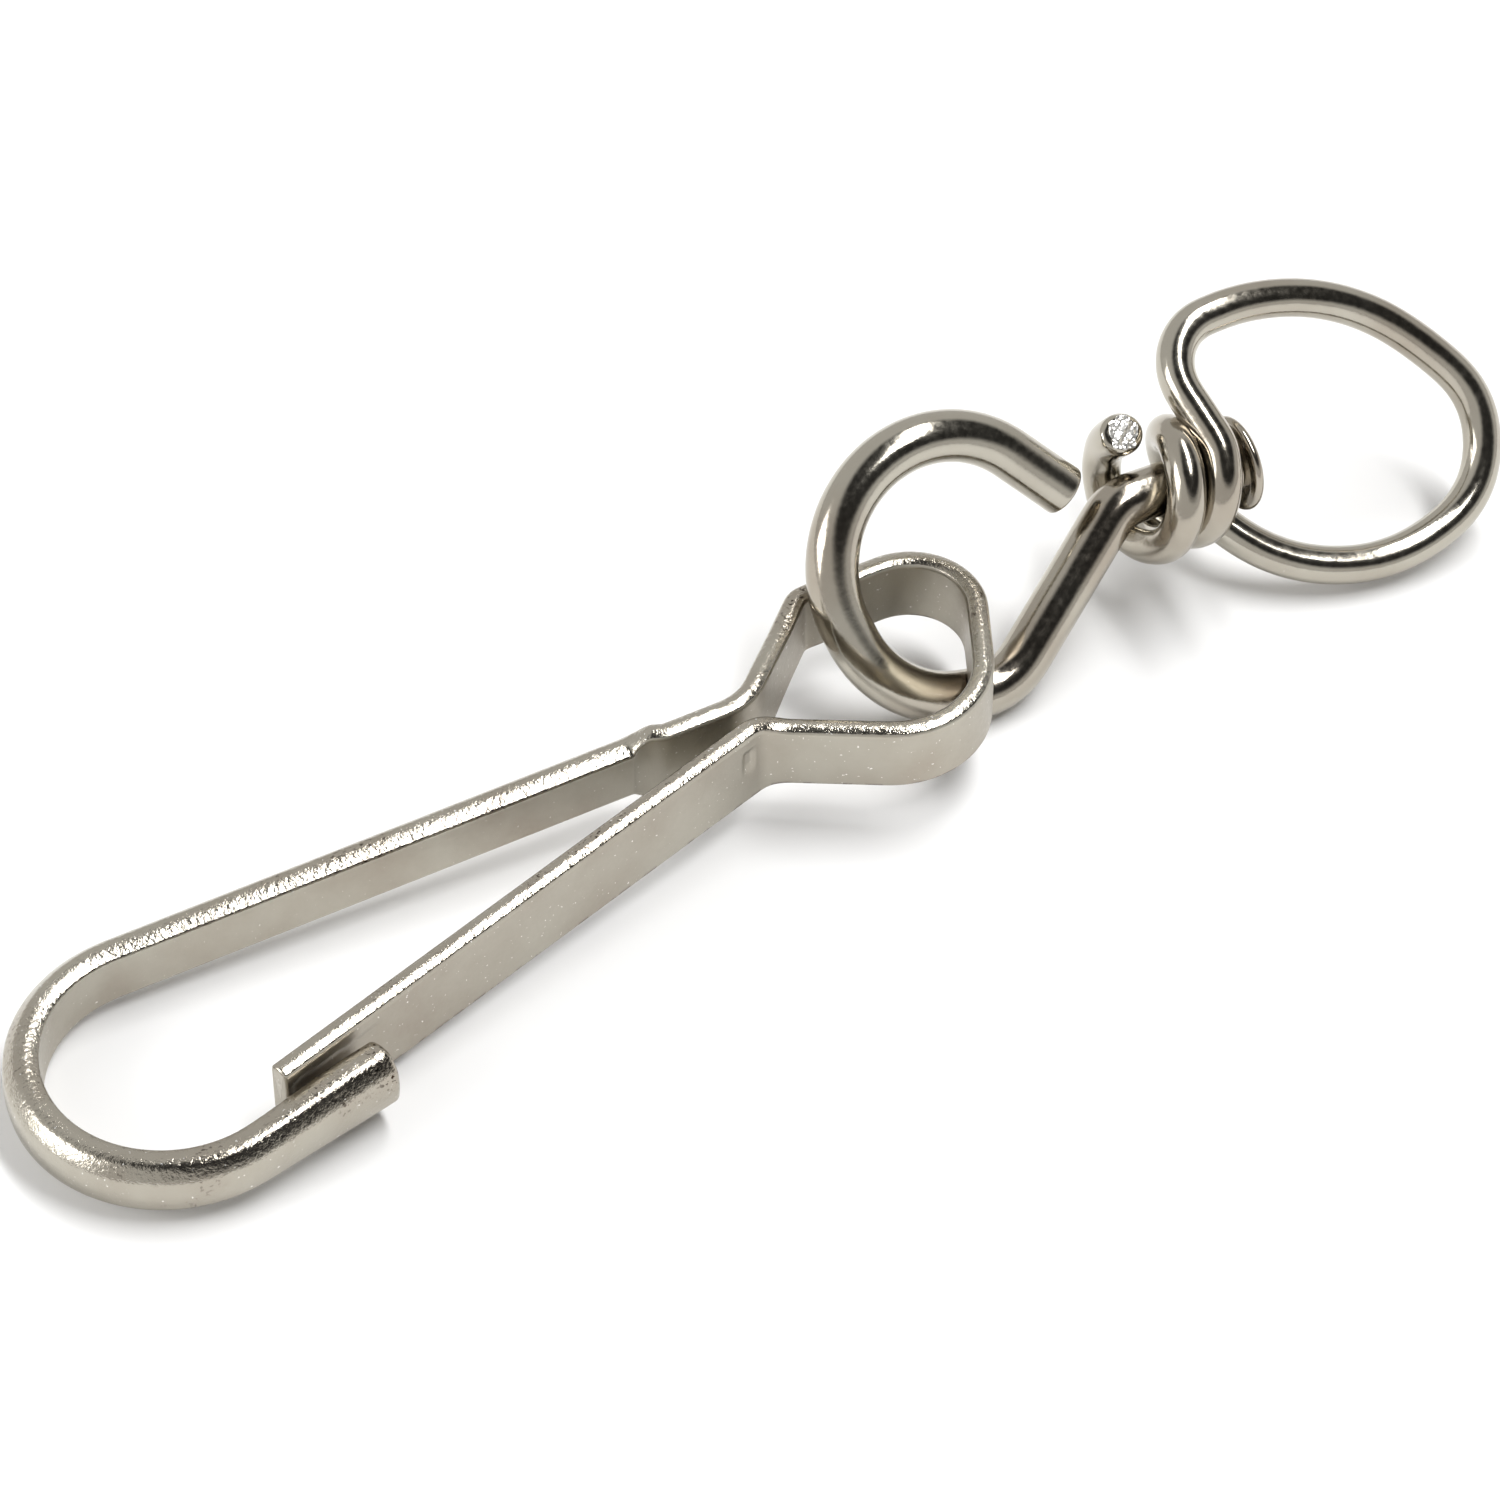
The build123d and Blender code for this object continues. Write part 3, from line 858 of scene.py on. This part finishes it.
@dataclass
class WoundRing:
    """Round wire ring whose two ends are wound together round the shank."""

    axis_at: Array
    wire: float = 1.20
    ring_tilt: float = 48.0
    corners: tuple[tuple[float, float], ...] = ((11.75, -5.55), (18.18, -3.45), (19.02, -0.45), (14.80, 4.87),
                                                (8.44, 4.42))
    radii: tuple[float, ...] = (5.60, 2.72, 2.59, 7.51, 1.84)
    coil_radius: float = 1.53
    pitch: float = 2.52
    turn_step: float = 45.0
    long_from: float = -56.0
    long_x: float = 8.95
    long_bends: int = 12
    late_from: int = 9
    late_step: float = 33.0
    loose_from: int = 4
    loosening: float = 0.045
    lean_from: int = 8
    lean: float = -0.10
    short_from: float = 110.0
    short_x: float = 9.07
    short_bends: int = 5
    ring_ease: float = 0.65            # width of the bell curve that rounds the ring's bends
    step: float = 0.07

    def on_axis(self, x: Array, radius: Array, degrees: Array) -> Array:
        """Points beside the swivel axis; 0 is the far side and 90 the top."""
        a = np.radians(degrees)
        return self.axis_at + np.column_stack([x, radius * np.cos(a), radius * np.sin(a)])

    def path(self) -> Array:
        """Centre line from the long wound end, round the ring, to the short one.

        Both wound ends are helices given by one corner every eighth of a turn
        at radius / cos(half a step); over its last turn the long end's radius
        grows and it leans back towards the coil, where it stands off the shank.

        Returns:
            Points in space.
        """
        corner = 1.0 / cos(radians(self.turn_step / 2))
        step_x = self.pitch * self.turn_step / 360.0
        i = np.arange(self.long_bends)
        moves = np.where(i[:-1] >= self.lean_from, self.lean, 1.0) * step_x
        long_x = self.long_x - np.r_[0.0, np.cumsum(moves)]
        long_r = (self.coil_radius + self.loosening * np.maximum(0, i - self.loose_from)) * corner
        degrees = (self.long_from + np.minimum(i, self.late_from) * self.turn_step
                   + np.maximum(0, i - self.late_from) * self.late_step)
        long_end = self.on_axis(long_x, long_r, degrees)[::-1]
        j = np.arange(self.short_bends)
        short_end = self.on_axis(self.short_x - j * step_x, np.full(len(j), self.coil_radius * corner),
                                 self.short_from + j * self.turn_step)
        tilt = radians(self.ring_tilt)
        flat = np.array(self.corners)
        ring = self.axis_at + np.column_stack([flat[:, 0], flat[:, 1] * cos(tilt), flat[:, 1] * sin(tilt)])
        bend = self.coil_radius * 0.97
        radii = [bend] * (self.long_bends - 1) + list(self.radii) + [bend] * (self.short_bends - 1)
        points = np.vstack([long_end, ring, short_end])
        wound = even_path(filleted([tuple(p) for p in points], radii), self.step, 0.16)
        bell = np.exp(-0.5 * (np.arange(-30, 31) * self.step / self.ring_ease) ** 2)
        eased = np.column_stack([np.convolve(axis, bell / bell.sum(), "same") for axis in wound.T])
        far = smoothstep(wound[:, :1] - self.axis_at[0], 10.5, 13.0)
        return wound * (1.0 - far) + eased * far

    def make(self, plate: bpy.types.Material, torn: bpy.types.Material) -> bpy.types.Object:
        """Builds the ring.

        The section's first direction is outward from the swivel axis on the
        wound part and outward from the ring's middle elsewhere, with a smooth
        change between.

        Args:
            plate: nickel plate of the round wire.
            torn: bare steel of the pinched end.

        Returns:
            The ring.
        """
        centre = self.path()
        tangent = unit(np.gradient(centre, axis=0))
        radial = (centre - self.axis_at) * [0.0, 1.0, 1.0]
        distance = np.linalg.norm(radial, axis=1)
        middle = self.axis_at + [13.8, 0.0, 0.0]
        past_coil = smoothstep(centre[:, 0] - self.axis_at[0], 10.4, 11.6)
        mix = np.maximum(smoothstep(distance, 1.95, 2.9), past_coil)[:, None]
        guide = unit(radial) * (1.0 - mix) + unit(centre - middle) * mix
        outward = unit(guide - np.sum(guide * tangent, axis=1, keepdims=True) * tangent)
        upward = np.cross(tangent, outward)
        from_end = np.arange(len(centre))[:, None, None] * self.step
        spread = 1.0 + np.array([0.10, 0.22]) * smoothstep(from_end, 1.7, 0.2)
        outline = round_outline(52)[None] * spread * self.wire / 2
        piece = SweptWire("ring_wound_wire", centre, outward, upward, outline, EndShape.PINCHED,
                          EndShape.SHEARED, torn=0.05).build()
        dress(piece, "nickel_wire", plate, torn)
        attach(piece, "ring")
        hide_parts("ring_wire")
        return piece


# Studio -------------------------------------------------------------------------------


@dataclass
class Studio:
    """Pale floor, soft light and the camera."""

    eye: tuple[float, float, float] = (-64.332, -103.76, 130.209)
    right: tuple[float, float, float] = (0.8814, -0.4695, 0.0508)
    ahead: tuple[float, float, float] = (0.3564, 0.5908, -0.7238)
    view_angle: float = 14.25
    floor_size: float = 2400.0
    dark_side: tuple[float, float, float] = (0.25, -0.35, 0.90)
    room_glow: float = 0.72

    def floor(self, height: float) -> None:
        """Lays a plain pale floor under the object."""
        half = self.floor_size * MM / 2
        corners = [(-half, -half, height), (half, -half, height), (half, half, height), (-half, half, height)]
        mesh = bpy.data.meshes.new("floor")
        mesh.from_pydata(corners, [], [(0, 1, 2, 3)])
        floor = bpy.data.objects.new("floor", mesh)
        bpy.context.scene.collection.objects.link(floor)
        material = bpy.data.materials.new("matt_white_paper")
        material.use_nodes = True
        shader = material.node_tree.nodes["Principled BSDF"]
        shader.inputs["Base Color"].default_value = linear("#F7F7F7")
        shader.inputs["Roughness"].default_value = 0.9
        mesh.materials.append(material)
        floor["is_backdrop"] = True

    def light(self, name: str, place: tuple[float, float, float], size: tuple[float, float],
              power: float) -> None:
        """Hangs one soft box that points at the object.

        Args:
            name: name of the light.
            place: where it hangs.
            size: width and height.
            power: watts.
        """
        data = bpy.data.lights.new(name, "AREA")
        data.shape = "RECTANGLE"
        data.size, data.size_y = size[0] * MM, size[1] * MM
        data.energy = power
        lamp = bpy.data.objects.new(name, data)
        lamp.location = Vector(place) * MM
        lamp.rotation_euler = (-lamp.location).to_track_quat("-Z", "Y").to_euler()
        bpy.context.scene.collection.objects.link(lamp)

    def world(self) -> None:
        """White room with a dark opening at the front, which bright wire mirrors as dark bands."""
        world = bpy.data.worlds.new("studio")
        world.use_nodes = True
        tree = world.node_tree
        tree.nodes.clear()
        place = add_node(tree, "ShaderNodeTexCoord").outputs["Generated"]
        front = add_node(tree, "ShaderNodeVectorMath", {"operation": "DOT_PRODUCT", 1: self.dark_side},
                         {0: place}).outputs["Value"]
        glow = add_node(tree, "ShaderNodeMapRange",
                        {"From Min": 0.76, "From Max": 0.60, "To Min": 0.03, "To Max": self.room_glow},
                        {"Value": front}).outputs["Result"]
        sky = add_node(tree, "ShaderNodeBackground", {"Color": linear("#FFFEFC")}, {"Strength": glow})
        add_node(tree, "ShaderNodeOutputWorld", {}, {"Surface": sky.outputs["Background"]})
        bpy.context.scene.world = world

    def camera(self) -> None:
        """Sets the camera at the chosen view."""
        data = bpy.data.cameras.new("camera")
        data.sensor_width = 36.0
        data.lens = data.sensor_width / 2 / tan(radians(self.view_angle / 2))
        data.clip_start, data.clip_end = 0.01, 10.0
        camera = bpy.data.objects.new("camera", data)
        bpy.context.scene.collection.objects.link(camera)
        ahead = Vector(self.ahead).normalized()
        right = Vector(self.right)
        right = (right - ahead * right.dot(ahead)).normalized()
        up = right.cross(ahead)
        camera.matrix_world = Matrix.Translation(Vector(self.eye) * MM) @ Matrix(
            (right, up, -ahead)).transposed().to_4x4()
        bpy.context.scene.camera = camera

    def make(self) -> None:
        """Sets up floor, lights and camera."""
        self.floor(min(CAD_BOX[0][2], float(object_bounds()[0][2])))
        self.light("strip_box_overhead", (110.0, -15.0, 340.0), (320.0, 70.0), 1.25)
        self.light("soft_box_left", (-330.0, 60.0, 150.0), (200.0, 160.0), 0.55)
        self.world()
        self.camera()
        bpy.context.scene.view_settings.view_transform = "Standard"


def main() -> None:
    """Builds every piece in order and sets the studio."""
    logging.basicConfig(level=logging.INFO, format="%(name)s: %(message)s")
    strip_plate = STRIP_PLATE.make()
    wire_plate = WIRE_PLATE.make()
    torn = TornSteel().make()
    pieces = HookAndGate().make(strip_plate)
    link = SwivelLink()
    pieces.append(link.make(wire_plate))
    pieces.append(WoundRing(axis_at=link.centre).make(wire_plate, torn))
    for piece in pieces:
        log.info("%s: %d faces", piece.name, len(piece.data.polygons))
    Studio().make()


if __name__ == "__main__":
    main()
